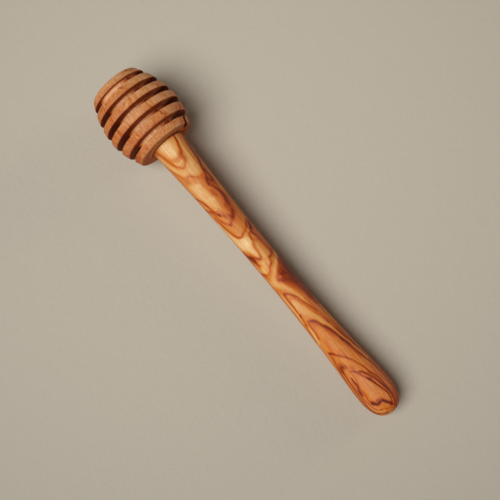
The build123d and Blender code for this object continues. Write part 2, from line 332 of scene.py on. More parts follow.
# painted figure: tone, strength, crispness, then places as
# (millimetres from the seat, degrees from the top, half width in millimetres)
figureStrokes = [
    # ground: redder towards the butt; the right flank, in shade, and the left flank are painted paler:
    # painted light
    (0.44, 0.60, 2, [(97, -30, 4.0), (108, -30, 6.0), (130, -30, 7.0)]),
    (0.80, 0.45, 2, [(-1, 54, 2.6), (20, 54, 2.6), (36, 54, 2.4)]),
    (0.64, 0.45, 2, [(40, 54, 2.2), (60, 54, 2.2), (80, 56, 2.6), (130, 56, 3.2)]),
    (0.68, 0.40, 2, [(-1, -72, 2.2), (40, -72, 2.2), (80, -72, 2.4), (130, -72, 2.6)]),
    # neck: glue line with painted shade where the handle meets the head, and cream wedge inside the first
    # pointed vein
    (0.15, 0.75, 3, [(20.6, 27, 0.5), (21.8, 33, 0.6), (22.6, 40, 0.6), (21.2, 44, 0.5)]),
    (0.20, 0.7, 3, [(2, 66, 0.7), (6, 62, 0.9), (10, 58, 0.9), (13, 55, 0.6)]),
    # glue line, darkened further by painted shade of the joint, all round the neck
    (0.06, 0.9, 4, [(0.1, -170, 0.35), (0.1, -90, 0.3), (0.1, -40, 0.3), (0.1, 0, 0.35), (0.1, 40, 0.45),
                    (0.1, 80, 0.5), (0.1, 170, 0.4)]),
    (0.60, 0.8, 3, [(0, -62, 1.4), (4, -52, 0.9), (7, -40, 0.7), (8.4, -22, 0.7), (8.6, -8, 0.7)]),
    (0.91, 1.0, 5, [(-1, -20, 3.2), (2, -20, 3.1), (4.6, -17, 2.7), (6.4, -14, 1.4)]),
    # painted highlight near the neck
    (1.00, 0.8, 3, [(0.9, -30, 0.5), (1.5, -27, 0.4)]),
    (0.98, 0.5, 3, [(4.0, -24, 0.5), (5.0, -22, 0.6), (6.0, -16, 0.4)]),
    (0.81, 0.6, 3, [(0.5, 10, 0.9), (3, 9, 0.9), (5, 4, 0.5)]),
    (0.90, 0.85, 3, [(0, 33, 0.6), (4, 32, 0.8), (7, 29, 1.1), (11, 22, 1.5), (13, 16, 1.6)]),
    (0.66, 0.7, 3, [(0, 43, 1.0), (5, 43, 1.0), (10, 39, 0.8), (14, 32, 0.6)]),
    (0.46, 0.6, 4, [(0.5, 38, 0.15), (5, 37, 0.15), (10, 32, 0.18), (14, 30, 0.18)]),
    (0.38, 0.6, 4, [(0.5, 49, 0.2), (5, 48, 0.2), (9, 45, 0.2), (12, 41, 0.18)]),
    (0.36, 0.7, 4, [(0, -72, 0.6), (1.5, -66, 0.7), (3, -60, 0.4)]),
    (0.87, 0.8, 4, [(3, -80, 0.5), (6, -70, 0.7), (9, -61, 0.9), (12, -49, 1.0), (14.4, -37, 0.9),
                    (15, -30, 0.5)]),
    (0.93, 0.7, 3, [(9.2, -33, 0.3), (10.1, -27, 0.5), (10.3, -18, 0.5), (9.9, -9, 0.35)]),
    (0.25, 0.88, 4, [(-1, 29, 0.35), (2, 26, 0.45), (4, 21, 0.5), (6, 15, 0.55), (7.6, 8, 0.6)]),
    (0.38, 0.85, 3, [(7.4, 6, 0.7), (8.4, 2, 0.9), (10, 2, 0.8), (11.2, -4, 0.5), (12.0, -10, 0.4),
                     (12.7, -20, 0.3)]),
    (0.38, 0.8, 4, [(0, -60, 0.27), (4, -54, 0.36), (6.5, -49, 0.45), (8.4, -45, 0.45), (10, -40, 0.36),
                    (11.2, -33, 0.36), (12.4, -23, 0.32)]),
    # second and third veins, and the peach patch between them
    (0.46, 0.75, 3, [(8, -84, 0.4), (12, -62, 0.4), (14.2, -52, 0.5), (16.2, -44, 0.6), (17.6, -41, 0.8)]),
    (0.58, 0.7, 3, [(17, -66, 1.0), (18, -52, 1.2), (18.4, -30, 1.0), (19.4, -14, 0.8)]),
    (0.46, 0.8, 3, [(17.2, -42, 0.8), (16.1, -33, 0.55), (16.2, -26, 0.5), (17.2, -17, 0.5),
                    (18.2, -9, 0.6), (18.9, -2, 0.8), (19.3, 6, 0.9), (19.3, 16, 0.8)]),
    (0.34, 0.6, 4, [(16.0, -31, 0.2), (16.6, -21, 0.2), (17.8, -11, 0.25), (18.6, -3, 0.25)]),
    (0.88, 0.88, 4, [(12.3, 6, 1.3), (14.4, 0, 2.2), (16.2, 3, 1.9), (16.4, 14, 1.9), (15.2, 23, 1.0)]),
    (0.46, 0.85, 4, [(19, 10, 0.9), (21.5, 3, 1.0), (25, 9, 1.4), (29, 12, 1.7), (33, 6, 1.5),
                     (36, -4, 0.9)]),
    (0.50, 0.6, 3, [(27, 17, 0.6), (30, 18, 0.7), (31.5, 12, 0.6)]),
    (0.87, 0.92, 4, [(18.9, -56, 0.5), (20.4, -46, 1.5), (23, -36, 2.1), (26.5, -29, 2.3), (30, -20, 1.9),
                     (32.6, -14, 1.0)]),
    (0.95, 0.6, 3, [(21.4, -20, 0.5), (20.8, -22, 0.4)]),
    (0.95, 0.6, 3, [(27.3, -22, 0.5), (28.2, -15, 0.6), (28, -10, 0.4)]),
    (1.00, 0.7, 3, [(31.9, -33, 0.22), (31.9, -31, 0.22)]),
    (0.62, 0.6, 3, [(30.8, -36, 0.25), (31.8, -27, 0.3), (33, -19, 0.3)]),
    (0.27, 0.8, 4, [(24, -76, 0.4), (26, -65, 0.5), (28, -57, 0.6), (30, -51, 0.5), (32, -45, 0.5),
                    (33.4, -40, 0.4)]),
    (0.32, 0.7, 4, [(29.5, -84, 0.5), (31, -68, 0.5), (33, -56, 0.5), (35, -52, 0.5), (37, -47, 0.5)]),
    (0.23, 0.7, 4, [(25, 4, 0.3), (26.5, 5, 0.5), (28, 8, 0.4)]),
    # dark red ground of the right side, with its knot
    (0.33, 0.85, 3, [(10, 58, 0.8), (14, 50, 1.0), (18, 43, 1.3), (22, 40, 1.4), (26, 37, 1.1),
                     (30, 37, 0.7)]),
    (0.14, 0.85, 4, [(5, 62, 0.3), (9, 55, 0.35), (12, 51, 0.4), (14, 44, 0.5), (16, 37, 0.5),
                     (18, 32, 0.5), (19.6, 29, 0.5), (21, 21, 0.5), (22.4, 15, 0.5), (23.3, 10, 0.3)]),
    (0.24, 0.8, 3, [(20.8, 24, 0.6), (22, 26, 0.9), (23.2, 20, 0.7)]),
    (0.29, 0.6, 4, [(21.6, 30, 0.15), (22.6, 17, 0.15)]),
    (0.17, 0.8, 4, [(17.4, 44, 0.4), (18.4, 40, 0.4), (20.4, 46, 0.4), (22.6, 45, 0.4), (24.2, 36, 0.3)]),
    (0.44, 0.7, 4, [(19.0, 36, 0.2), (20.6, 34, 0.25), (21.8, 37, 0.15)]),
    (0.46, 0.7, 4, [(23.4, 38, 0.3), (24.2, 34, 0.3), (25.2, 36, 0.2)]),
    (0.40, 0.6, 4, [(15.0, 47, 0.2), (16.4, 43, 0.2), (17.2, 50, 0.2)]),
    (0.42, 0.6, 4, [(22.4, 20, 0.12), (22.8, 24, 0.14)]),
    (0.13, 0.85, 4, [(24, 22, 0.3), (26, 28, 0.4), (28, 36, 0.6), (30, 35, 0.7), (32, 31, 0.7),
                     (33.6, 27, 0.7)]),
    (0.52, 0.6, 3, [(29, 52, 1.6), (34, 50, 2.0), (39, 48, 2.0)]),
    # purple haze and the thick dark hook
    (0.24, 0.85, 3, [(33.2, 24, 0.7), (35, 19, 1.0), (36.6, 14, 1.1), (37.6, 7, 0.8)]),
    (0.46, 0.8, 3, [(33.4, -28, 1.0), (35.4, -22, 1.6), (37.4, -14, 1.5), (38, -6, 0.9)]),
    (0.62, 0.7, 3, [(33, -49, 0.4), (35.2, -42, 0.5), (37, -34, 0.6), (38.2, -26, 0.5)]),
    (0.57, 0.75, 3, [(41, -48, 1.2), (42.5, -30, 2.0), (43, -10, 1.8), (42.5, 8, 1.6), (41, 22, 1.5),
                     (39, 33, 1.5)]),
    (0.57, 0.6, 3, [(41.5, -26, 1.0), (43.6, -12, 1.0)]),
    (0.43, 0.6, 3, [(40, 8, 0.9), (40.6, 20, 1.0), (39, 28, 0.8)]),
    (0.24, 0.8, 4, [(31, -60, 0.4), (32.5, -48, 0.4), (34.3, -37, 0.5), (35, -32, 0.3)]),
    (0.15, 0.8, 4, [(34, -39, 0.3), (34.7, -35, 0.4)]),
    (0.24, 0.6, 4, [(35.4, -25, 0.5), (36.1, -21, 0.5)]),
    (0.32, 0.82, 4, [(36.5, -49, 0.4), (38, -42, 0.5), (39, -36, 0.5), (39.7, -30, 0.6), (40.3, -25, 0.4)]),
    (0.17, 0.8, 4, [(39.5, -29, 0.25), (40.3, -25, 0.22)]),
    (0.29, 0.85, 3, [(33, 17, 0.8), (35, 15, 1.1), (36.6, 10, 1.0)]),
    (0.24, 0.9, 3, [(39.6, -26, 0.4), (39.2, -15, 0.6), (38.7, -5, 0.8), (37.9, 4, 1.3), (37.0, 12, 1.6),
                    (35.8, 20, 1.3), (34.4, 24, 0.8), (32.8, 27, 0.7), (30.8, 32, 0.6)]),
    (0.30, 0.8, 3, [(33.2, 16, 0.6), (34.6, 14, 0.7), (36.2, 8, 0.6)]),
    (0.08, 0.7, 4, [(38.3, 2, 0.5), (37.6, 10, 0.6), (36.6, 19, 0.6), (35.6, 23, 0.4)]),
    (0.60, 0.7, 3, [(34, -3, 0.5), (35.6, -1, 0.45), (36, 3, 0.3)]),
    # long bow before the cream field
    (0.30, 0.8, 4, [(34, -66, 0.4), (38, -62, 0.5), (40.5, -57, 0.5), (42.6, -51, 0.5), (44.3, -45, 0.5),
                    (45.3, -38, 0.5), (45.9, -30, 0.5), (46.1, -22, 0.5), (45.6, -14, 0.5), (45.3, -5, 0.5),
                    (45.3, 3, 0.5), (44.9, 11, 0.5), (44.3, 20, 0.5), (43.5, 29, 0.6), (42.6, 38, 0.6),
                    (41.6, 50, 0.5)]),
    (0.22, 0.6, 4, [(45.6, -36, 0.3), (46.1, -23, 0.35), (45.4, -8, 0.3)]),
    (0.18, 0.7, 4, [(44.2, 22, 0.3), (43.4, 30, 0.45), (42.8, 37, 0.4)]),
    (1.00, 0.95, 5, [(40.6, -78, 0.8), (43.5, -67, 1.3), (46.2, -57, 2.0), (48.4, -44, 2.7), (50, -34, 2.6),
                     (51.6, -26, 1.9), (53.8, -24, 1.2), (55.5, -24, 0.4)]),
    (0.97, 0.95, 5, [(48.4, -30, 1.7), (48.8, -15, 1.7), (49, -7, 1.1), (48.9, -1, 0.5)]),
    (0.64, 0.7, 3, [(46.3, 0, 0.6), (46.5, 8, 0.6), (45.6, 17, 0.6)]),
    (0.55, 0.7, 3, [(51.2, -62, 0.6), (52.6, -54, 0.6), (53.6, -46, 0.5)]),
    (0.30, 0.88, 3, [(50.6, -80, 0.7), (52, -71, 0.9), (54, -63, 1.2), (55.6, -57, 1.1), (56.8, -52, 0.9),
                     (58, -46, 0.6)]),
    (0.13, 0.88, 3, [(52.6, -72, 0.4), (53.8, -64, 0.8), (55, -57, 0.9), (56.3, -54, 0.6)]),
    (0.05, 0.7, 4, [(53.7, -64, 0.4), (54.3, -59, 0.4)]),
    (0.22, 0.85, 3, [(54.2, -56, 0.8), (54.6, -48, 0.7), (55, -41, 0.5), (55.7, -33, 0.4)]),
    (0.32, 0.85, 4, [(55.2, -40, 0.4), (55.9, -32, 0.45), (56.5, -26, 0.5), (56.6, -20, 0.5),
                     (56, -14, 0.4)]),
    (0.42, 0.85, 4, [(56, -14, 0.4), (54.5, -11, 0.45), (52.6, -9, 0.5), (51.2, -5, 0.6), (50.4, 1, 0.6),
                     (49.9, 6, 0.6)]),
    # paler left flank beside the cream field
    (0.88, 0.8, 3, [(36.5, -78, 0.7), (40, -71, 0.8), (43, -65, 1.0), (46, -66, 1.4)]),
    (0.74, 0.6, 3, [(57.6, -70, 0.8), (59.4, -72, 0.9), (60.6, -66, 0.5)]),
    (0.72, 0.6, 3, [(63.4, -72, 0.8), (65.2, -68, 1.0)]),
    (0.20, 0.7, 4, [(56.2, -29, 0.25), (56.6, -24, 0.3)]),
    (0.32, 0.7, 4, [(57.4, -55, 0.6), (58.3, -48, 0.6), (58.5, -43, 0.4)]),
    # golden fields and knots in the middle
    (0.74, 0.8, 4, [(52, 13, 1.5), (54.3, 11, 2.2), (56, 7, 1.6), (56.6, 14, 1.0)]),
    (0.86, 0.6, 3, [(52.4, -1, 0.7), (54.6, -2, 0.8), (56.6, -1, 0.7)]),
    (0.88, 0.8, 3, [(57.8, -36, 0.7), (59.4, -33, 1.2), (60.7, -46, 1.1), (60.6, -62, 0.9)]),
    (0.86, 0.7, 3, [(58.4, -22, 0.8), (59.4, -8, 0.9), (58.4, 1, 0.6)]),
    (0.60, 0.6, 3, [(59.2, -18, 0.5), (59.6, -13, 0.4)]),
    (0.83, 0.6, 3, [(61.7, -50, 0.4), (61.9, -36, 0.45), (61.2, -24, 0.3)]),
    (0.62, 0.7, 3, [(47, 14, 0.5), (48.6, 15, 0.9), (50, 18, 0.9), (49, 25, 0.7)]),
    (0.66, 0.6, 3, [(47.2, 18, 0.3), (48.3, 21, 0.25)]),
    (0.22, 0.85, 4, [(46.6, 14, 0.35), (47.5, 9, 0.45), (48.5, 6, 0.5), (49.2, 3, 0.35)]),
    (0.46, 0.8, 3, [(49.6, 8, 0.4), (50, 16, 0.5), (50.4, 25, 0.6), (50.6, 33, 0.8)]),
    (0.28, 0.75, 3, [(46.8, 28, 0.4), (48.6, 33, 0.6), (50.6, 36, 0.8), (53, 37, 0.8), (55.4, 37, 0.7),
                     (57, 35, 0.4)]),
    (0.44, 0.7, 3, [(46.6, 54, 1.6), (51, 54, 2.0), (56, 56, 1.6)]),
    (0.11, 0.88, 3, [(47.2, 22, 0.4), (46.1, 27, 0.6), (45.4, 33, 0.8), (45.2, 40, 0.8), (44.5, 47, 0.8),
                     (43.3, 52, 0.6), (42.4, 60, 0.5)]),
    (0.19, 0.7, 4, [(46.5, 27, 0.3), (47.7, 28, 0.35), (48.6, 33, 0.3)]),
    # jagged line and the pale band beside it
    (0.50, 0.7, 3, [(63.4, -62, 0.6), (63.7, -48, 0.6), (63.4, -36, 0.4)]),
    (0.32, 0.82, 4, [(60.8, -78, 0.5), (61.6, -69, 0.6), (62.4, -58, 0.7), (62.9, -46, 0.6),
                     (62.8, -38, 0.5), (62.3, -29, 0.45), (61.5, -18, 0.4), (60.8, -8, 0.4), (60.3, 0, 0.4),
                     (59.8, 5, 0.4), (58.9, 8, 0.4), (58.1, 11, 0.4), (57.8, 16, 0.4), (58.1, 22, 0.5),
                     (57.8, 28, 0.5), (57.2, 35, 0.5), (56.8, 44, 0.5), (56.2, 56, 0.5)]),
    (0.20, 0.7, 4, [(60.6, -4, 0.25), (60.2, 2, 0.25)]),
    (0.18, 0.7, 4, [(58, 13, 0.25), (58.1, 22, 0.35), (57.8, 28, 0.3), (57.2, 37, 0.3)]),
    (0.81, 0.85, 4, [(66, -60, 0.9), (66.6, -50, 1.3), (65.6, -38, 1.3), (64.9, -28, 1.0),
                     (64.2, -18, 0.85), (63.2, -8, 0.8), (62.4, 2, 0.75), (61.6, 13, 0.75), (60.7, 25, 0.7),
                     (59.9, 36, 0.65), (59, 47, 0.6), (58.2, 60, 0.6)]),
    (0.83, 0.85, 4, [(67, -50, 1.3), (68.2, -38, 1.3), (69.2, -29, 1.1), (70.2, -21, 1.0),
                     (71.7, -13, 0.85), (73.4, -6, 0.75), (75.3, 0, 0.7), (77.2, 6, 0.65), (79, 11, 0.5),
                     (81, 16, 0.3)]),
    (0.98, 0.6, 3, [(77, 8, 0.2), (77.5, 10, 0.2)]),
    # dark pointed field at the waist
    (0.24, 0.75, 3, [(73.5, 38, 0.9), (76, 45, 1.0), (79, 52, 1.0), (82, 58, 0.8)]),
    (0.20, 0.75, 3, [(61.8, 42, 0.8), (61.4, 55, 1.3), (61.4, 70, 1.6)]),
    (0.40, 0.8, 3, [(66.7, -25, 0.35), (66.4, -18, 0.8), (66.0, -12, 1.0)]),
    (0.17, 0.95, 4, [(66.8, -18, 0.9), (66.3, -8, 1.5), (65.8, 4, 2.3), (65.6, 18, 3.0), (65.6, 35, 3.8),
                     (66, 55, 5.2), (67, 75, 6)]),
    (0.19, 0.92, 3, [(67.2, -8, 0.9), (67.8, 4, 1.7), (68.6, 16, 2.4), (70, 30, 3.2), (73, 42, 3.0),
                     (77, 54, 2.6)]),
    (0.40, 0.7, 3, [(69.2, -10, 0.4), (70.6, 2, 0.7), (72.4, 13, 1.0), (74.6, 22, 1.1), (77.4, 33, 1.0)]),
    (0.56, 0.6, 3, [(71.8, 1, 0.4), (73.6, 9, 0.6), (75.6, 16, 0.8), (78.0, 22, 0.8)]),
    (0.42, 0.6, 4, [(71.2, 2, 0.15), (72.6, 10, 0.15), (74.4, 17, 0.18), (76.4, 23, 0.18)]),
    (0.50, 0.7, 3, [(66.2, -7, 0.25), (66.5, -3, 0.25)]),
    (0.19, 0.8, 4, [(66.8, -20, 0.2), (67.1, -15, 0.35), (67.5, -9, 0.25), (68.1, -2, 0.3),
                    (68.5, 6, 0.35)]),
    (0.22, 0.7, 4, [(67.2, -1, 0.5), (67.5, 4, 0.5)]),
    (0.12, 0.70, 4, [(65.5, 3, 0.3), (65.9, 11, 0.45), (66, 19, 0.45), (66.5, 25, 0.4), (66.8, 31, 0.4),
                     (66.8, 37, 0.3)]),
    (0.16, 0.7, 4, [(65, 24, 0.3), (65.3, 31, 0.3)]),
    (0.17, 0.7, 4, [(67.3, 44, 0.4), (67.6, 54, 0.6)]),
    (0.18, 0.6, 4, [(71.4, 40, 0.3), (71.5, 50, 0.4)]),
    (0.22, 0.7, 4, [(78, 52, 0.5), (79.4, 56, 0.6)]),
    # first long V and the tan field inside it
    (0.56, 0.6, 3, [(70.4, -62, 0.9), (70.8, -45, 0.9), (71.4, -30, 0.6)]),
    (0.86, 0.8, 3, [(72, -64, 0.35), (75, -63, 0.5), (78, -62, 0.5), (81, -62, 0.4), (84, -66, 0.3)]),
    (0.60, 0.7, 3, [(73.4, -44, 0.5), (73.6, -36, 0.5), (74.2, -28, 0.4)]),
    (0.77, 0.85, 4, [(76.4, -39, 0.9), (78.3, -34, 1.5), (80.4, -26, 1.6), (82.4, -16, 1.3),
                     (84.3, -8, 1.0), (87, 1, 0.9), (89, 7, 0.6)]),
    (0.84, 0.6, 3, [(77, -40, 0.4), (79, -41, 0.5)]),
    (0.57, 0.7, 3, [(83.2, -46, 0.8), (83.6, -36, 0.9), (84, -27, 0.6)]),
    (0.19, 0.85, 4, [(72.7, -50, 0.35), (72.1, -45, 0.5), (72.2, -40, 0.5), (72.7, -34, 0.4)]),
    (0.24, 0.8, 4, [(72.7, -50, 0.35), (74.5, -51, 0.4), (76.5, -50, 0.4), (78.5, -51, 0.35),
                    (80.4, -52, 0.25)]),
    (0.19, 0.8, 4, [(81.5, -47, 0.3), (82, -50, 0.5), (82.7, -52, 0.3)]),
    (0.34, 0.7, 4, [(82.5, -52, 0.3), (84.2, -56, 0.4), (85.6, -60, 0.4)]),
    (0.19, 0.8, 4, [(85.8, -63, 0.3), (86, -59, 0.4), (86.7, -60, 0.3)]),
    (0.27, 0.75, 4, [(86.6, -63, 0.3), (88.2, -67, 0.4), (89.4, -70, 0.4), (91, -75, 0.4), (93, -80, 0.4)]),
    (0.28, 0.85, 4, [(72.6, -36, 0.35), (73.3, -28, 0.35), (74.2, -20, 0.35), (75.2, -13, 0.45),
                     (76.4, -8, 0.5), (77.8, -4, 0.45), (79, 0, 0.45), (80.3, 6, 0.4), (81.4, 10, 0.4),
                     (82.4, 14, 0.4), (83.4, 18, 0.4), (84.4, 21, 0.3)]),
    (0.34, 0.75, 4, [(75.6, -17, 0.25), (77.2, -11, 0.25), (79.2, -5, 0.25), (80.8, 0, 0.25),
                     (82.3, 3, 0.25), (84.6, 9, 0.25), (86.4, 15, 0.2)]),
    (0.62, 0.6, 4, [(76.0, -13, 0.14), (78.0, -7, 0.14), (80.0, -1, 0.14), (82.0, 5, 0.14),
                    (84.0, 11, 0.14)]),
    (0.36, 0.6, 4, [(82.6, 10, 0.2), (84.2, 16, 0.2), (86.0, 21, 0.2)]),
    (0.48, 0.6, 3, [(74.6, -42, 0.25), (74.6, -34, 0.25), (75.2, -26, 0.25), (76, -20, 0.25)]),
    (0.40, 0.8, 3, [(80, 22, 0.5), (84, 25, 0.8), (87, 29, 1.0), (90, 33, 0.9), (93, 39, 0.8)]),
    (0.74, 0.75, 3, [(88, 8, 0.5), (90, 14, 0.55), (92, 19, 0.5), (94, 23, 0.45), (96, 27, 0.4),
                     (98, 32, 0.4), (100, 37, 0.4), (102, 41, 0.45), (105, 46, 0.45), (109, 51, 0.4)]),
    (0.21, 0.7, 4, [(89.5, 23, 0.3), (90, 25, 0.3)]),
    # second V, purple at its point
    (0.44, 0.6, 3, [(87, -31, 0.6), (88, -22, 0.9), (89.4, -13, 0.7)]),
    (0.88, 0.85, 3, [(86.4, -55, 0.3), (88, -56, 0.5), (90, -57, 0.55), (92, -61, 0.45), (94, -67, 0.35)]),
    (0.55, 0.6, 3, [(88.5, -30, 1.4), (92, -20, 2.2), (96, -12, 2.2), (99, -14, 1.2)]),
    (0.29, 0.8, 4, [(85.2, -38, 0.35), (85.6, -33, 0.65), (85.8, -27, 0.6), (86.3, -21, 0.5),
                    (87.1, -15, 0.5)]),
    (0.22, 0.88, 4, [(86.2, -24, 0.45), (86.9, -16, 0.45), (87.9, -10, 0.5), (89, -5, 0.5), (90, -1, 0.55),
                     (91, 3, 0.6)]),
    (0.13, 0.9, 4, [(90, -1, 0.5), (91, 3, 0.6), (92.2, 8, 0.7), (93.4, 12, 0.75), (94.7, 15, 0.8),
                    (96.2, 19, 0.75), (98, 23, 0.7), (100, 27, 0.6), (102, 31, 0.5)]),
    (0.36, 0.7, 3, [(95.6, 15, 0.4), (98, 19, 0.6), (101, 23, 0.65), (104, 28, 0.6), (107, 33, 0.4)]),
    (0.11, 0.85, 4, [(90.4, 1, 0.35), (91.8, 6, 0.42), (93.2, 11, 0.48), (94.6, 15.5, 0.48),
                     (96.4, 20, 0.46), (98.6, 24.5, 0.46), (101, 29, 0.42)]),
    (0.24, 0.85, 4, [(101, 29, 0.5), (104, 35, 0.45), (106, 39, 0.4), (108, 42, 0.4), (110.5, 47, 0.4),
                     (113.3, 52, 0.35), (115.8, 55, 0.3)]),
    (0.40, 0.6, 4, [(90.5, -5, 0.5), (93, 3, 0.6), (96, 11, 0.5), (99, 17, 0.5), (103, 25, 0.6),
                    (107, 31, 0.5)]),
    (0.28, 0.8, 4, [(85.6, -40, 0.35), (87.2, -43, 0.45), (89, -44, 0.45), (91, -46, 0.4),
                    (92.8, -49, 0.3)]),
    (0.58, 0.7, 3, [(83, 58, 1.4), (86, 58, 1.6), (90, 66, 1.6), (97, 74, 1.6), (103, 78, 1.4)]),
    (0.22, 0.82, 3, [(88, 27, 0.5), (90.5, 32, 0.8), (92.6, 36, 1.1), (94.8, 41, 1.3), (97, 45, 1.3),
                     (99.4, 49, 1.2), (102, 53, 1.0), (104.5, 56, 0.8), (107.5, 60, 0.5)]),
    (0.14, 0.7, 4, [(93, 30, 0.25), (95, 35, 0.35), (97, 39, 0.4), (99, 44, 0.4), (101.5, 49, 0.35),
                    (104.5, 54, 0.3)]),
    # third V, a single clear line
    (0.56, 0.6, 3, [(101.6, -50, 0.7), (103, -36, 1.0), (104.6, -22, 1.0), (106.4, -10, 0.9)]),
    (0.14, 0.85, 4, [(99, -57, 0.3), (99.2, -53, 0.5), (99.7, -47, 0.45), (100.4, -40, 0.35)]),
    (0.24, 0.86, 4, [(100.2, -42, 0.35), (101.4, -32, 0.4), (102.5, -23, 0.42), (103.6, -14, 0.42),
                     (104.7, -7, 0.38), (105.8, -1, 0.34), (107.2, 4, 0.3), (108.8, 8, 0.3),
                     (110.5, 13, 0.28)]),
    (0.14, 0.85, 4, [(110.5, 13, 0.22), (112.8, 18, 0.24), (115.1, 24, 0.25), (117.3, 28, 0.25),
                     (120.1, 30, 0.25), (123.1, 30.5, 0.25), (125.5, 31, 0.25), (127.3, 31, 0.25),
                     (128.6, 30, 0.22)]),
    (0.16, 0.8, 4, [(113.0, 13, 0.2), (115.2, 18, 0.22), (117.5, 22, 0.22), (119.2, 25, 0.22),
                    (121.9, 27, 0.18)]),
    (0.22, 0.85, 4, [(99.4, -56, 0.25), (101.4, -57, 0.3), (103.5, -61, 0.3), (105.5, -65, 0.3),
                     (107.9, -72, 0.3), (110.5, -74, 0.28), (113.1, -76, 0.28), (116.1, -78, 0.28),
                     (118.9, -79, 0.28), (121.7, -81, 0.28), (124.1, -83, 0.3), (126.5, -82, 0.3),
                     (128.0, -76, 0.3)]),
    # fourth V, broad and purple-brown
    (0.50, 0.6, 3, [(107.6, -50, 0.9), (109, -42, 1.0), (110, -52, 0.7)]),
    (0.13, 0.88, 3, [(107.6, -60, 0.5), (106.4, -57, 0.83), (105.7, -51, 0.94), (105.9, -45, 0.77),
                     (106.4, -38, 0.55)]),
    (0.32, 0.7, 4, [(104.3, -52, 0.4), (104.8, -46, 0.5)]),
    (0.36, 0.7, 4, [(106.5, -38, 0.6), (107, -30, 0.6), (107.7, -23, 0.6), (108.6, -18, 0.6)]),
    (0.15, 0.88, 4, [(106.6, -56, 0.35), (108.1, -59, 0.32), (110.6, -61, 0.32), (113.2, -62.5, 0.32),
                     (115.5, -63, 0.3), (118, -65, 0.3), (120.3, -67, 0.3), (122.6, -70, 0.32),
                     (124.7, -72, 0.35), (126.1, -69, 0.32), (127.3, -62, 0.3), (128.3, -48, 0.28),
                     (128.7, -28, 0.25)]),
    (0.22, 0.8, 4, [(112.3, -54, 0.2), (114.6, -54, 0.22), (116.9, -55, 0.22), (119.4, -57, 0.22),
                    (121.4, -56, 0.22), (123.3, -54, 0.22), (125, -51, 0.22), (126.2, -44, 0.22),
                    (126.5, -32, 0.2)]),
    (0.68, 0.7, 4, [(121, -60, 0.15), (123.7, -60, 0.2), (125.7, -57, 0.22), (127, -46, 0.22),
                    (127.3, -30, 0.2)]),
    (0.70, 0.6, 4, [(127.6, -74, 0.2), (128.7, -60, 0.25), (129.2, -40, 0.25), (129.3, -10, 0.2)]),
    (0.56, 0.8, 3, [(111.6, -24, 0.9), (114, -22, 1.6), (117, -17, 2.1), (120, -13, 2.0),
                    (121.6, -20, 1.2)]),
    (0.50, 0.7, 3, [(119, 2, 0.9), (121.5, 4, 1.4), (124, 8, 1.1)]),
    (0.20, 0.85, 4, [(108.8, -31, 0.3), (109.4, -25, 0.4), (110.2, -18, 0.45), (111.2, -13, 0.45),
                     (112.6, -9, 0.42), (113.8, -5, 0.42), (115, -1, 0.45), (116, 2, 0.4)]),
    (0.08, 0.9, 4, [(115.4, 0, 0.32), (117.1, 4, 0.32), (119.2, 9, 0.3), (121.2, 14, 0.3), (123.2, 17, 0.3),
                    (125.2, 16.5, 0.3), (126.6, 12, 0.35), (127.1, 8, 0.35)]),
    (0.09, 0.75, 4, [(114.4, -3, 0.25), (115.3, 1, 0.4), (115.9, 3, 0.25)]),
    (0.14, 0.6, 4, [(119.5, 13, 0.25), (121.5, 17, 0.3), (123.5, 19, 0.25)]),
    (0.10, 0.88, 4, [(110.8, -8, 0.28), (111.3, -3, 0.32), (112.7, 4, 0.32), (114.3, 8.5, 0.3),
                     (116.3, 14, 0.28), (118.5, 18.5, 0.26), (120.7, 22.5, 0.26), (122.9, 24.5, 0.26),
                     (124.8, 25, 0.26), (126.5, 24, 0.26), (128.1, 19, 0.25)]),
    (0.60, 0.6, 4, [(119, 12, 0.15), (121.4, 18, 0.18), (123.4, 20.5, 0.18), (125.4, 20.5, 0.18),
                    (127, 17, 0.18)]),
    (0.38, 0.6, 4, [(110.4, -33, 0.25), (112.4, -34, 0.3), (114, -36, 0.3)]),
    (0.08, 0.85, 4, [(111, -44, 0.29), (112.5, -45, 0.46), (114, -43, 0.63), (115, -46, 0.46),
                     (116, -50, 0.46), (117.2, -51, 0.57), (118.3, -51, 0.34)]),
    (0.28, 0.7, 4, [(115.4, -44, 0.3), (118, -42, 0.3), (120, -46, 0.3), (121.5, -46, 0.35)]),
    # nearly black loop before the butt
    (0.74, 0.6, 3, [(126.8, -36, 0.25), (127.2, -31, 0.3)]),
    (0.28, 0.7, 3, [(110, 60, 1.2), (116, 62, 2.0), (122, 62, 2.2), (127, 62, 1.6)]),
    (0.26, 0.8, 4, [(122.9, -28, 0.5), (122.8, -21, 0.5), (123.1, -14, 0.4)]),
    (0.03, 0.9, 4, [(121.8, -45, 0.34), (122.5, -42, 0.68), (123, -39, 0.61), (123.3, -36, 0.47),
                    (123.9, -32, 0.61), (123.9, -27, 0.54), (123.7, -20, 0.54), (123.7, -13, 0.61),
                    (124.3, -9, 0.54), (125.2, -4, 0.47), (126, 2, 0.47), (126.8, 7, 0.54),
                    (127.2, 11, 0.41)]),
    (0.27, 0.7, 4, [(127, -27, 0.25), (127.4, -20, 0.35), (127.6, -15, 0.2)]),
    (0.34, 0.8, 3, [(128.2, 0, 0.5), (128.4, 20, 0.9), (127.6, 38, 1.1), (126.0, 50, 1.3),
                    (123.6, 52, 1.0)]),
    (0.50, 0.6, 3, [(113, 38, 1.6), (118, 40, 2.0), (122.5, 38, 1.6)]),
    (0.48, 0.7, 3, [(129.4, -60, 0.9), (129.2, -20, 0.8), (129.6, 20, 0.9)]),
]


def toneAt(places, tones):
    # tone read off a list of (place, tone), in straight steps from one to the next
    return np.interp(places, *np.array(tones).T)


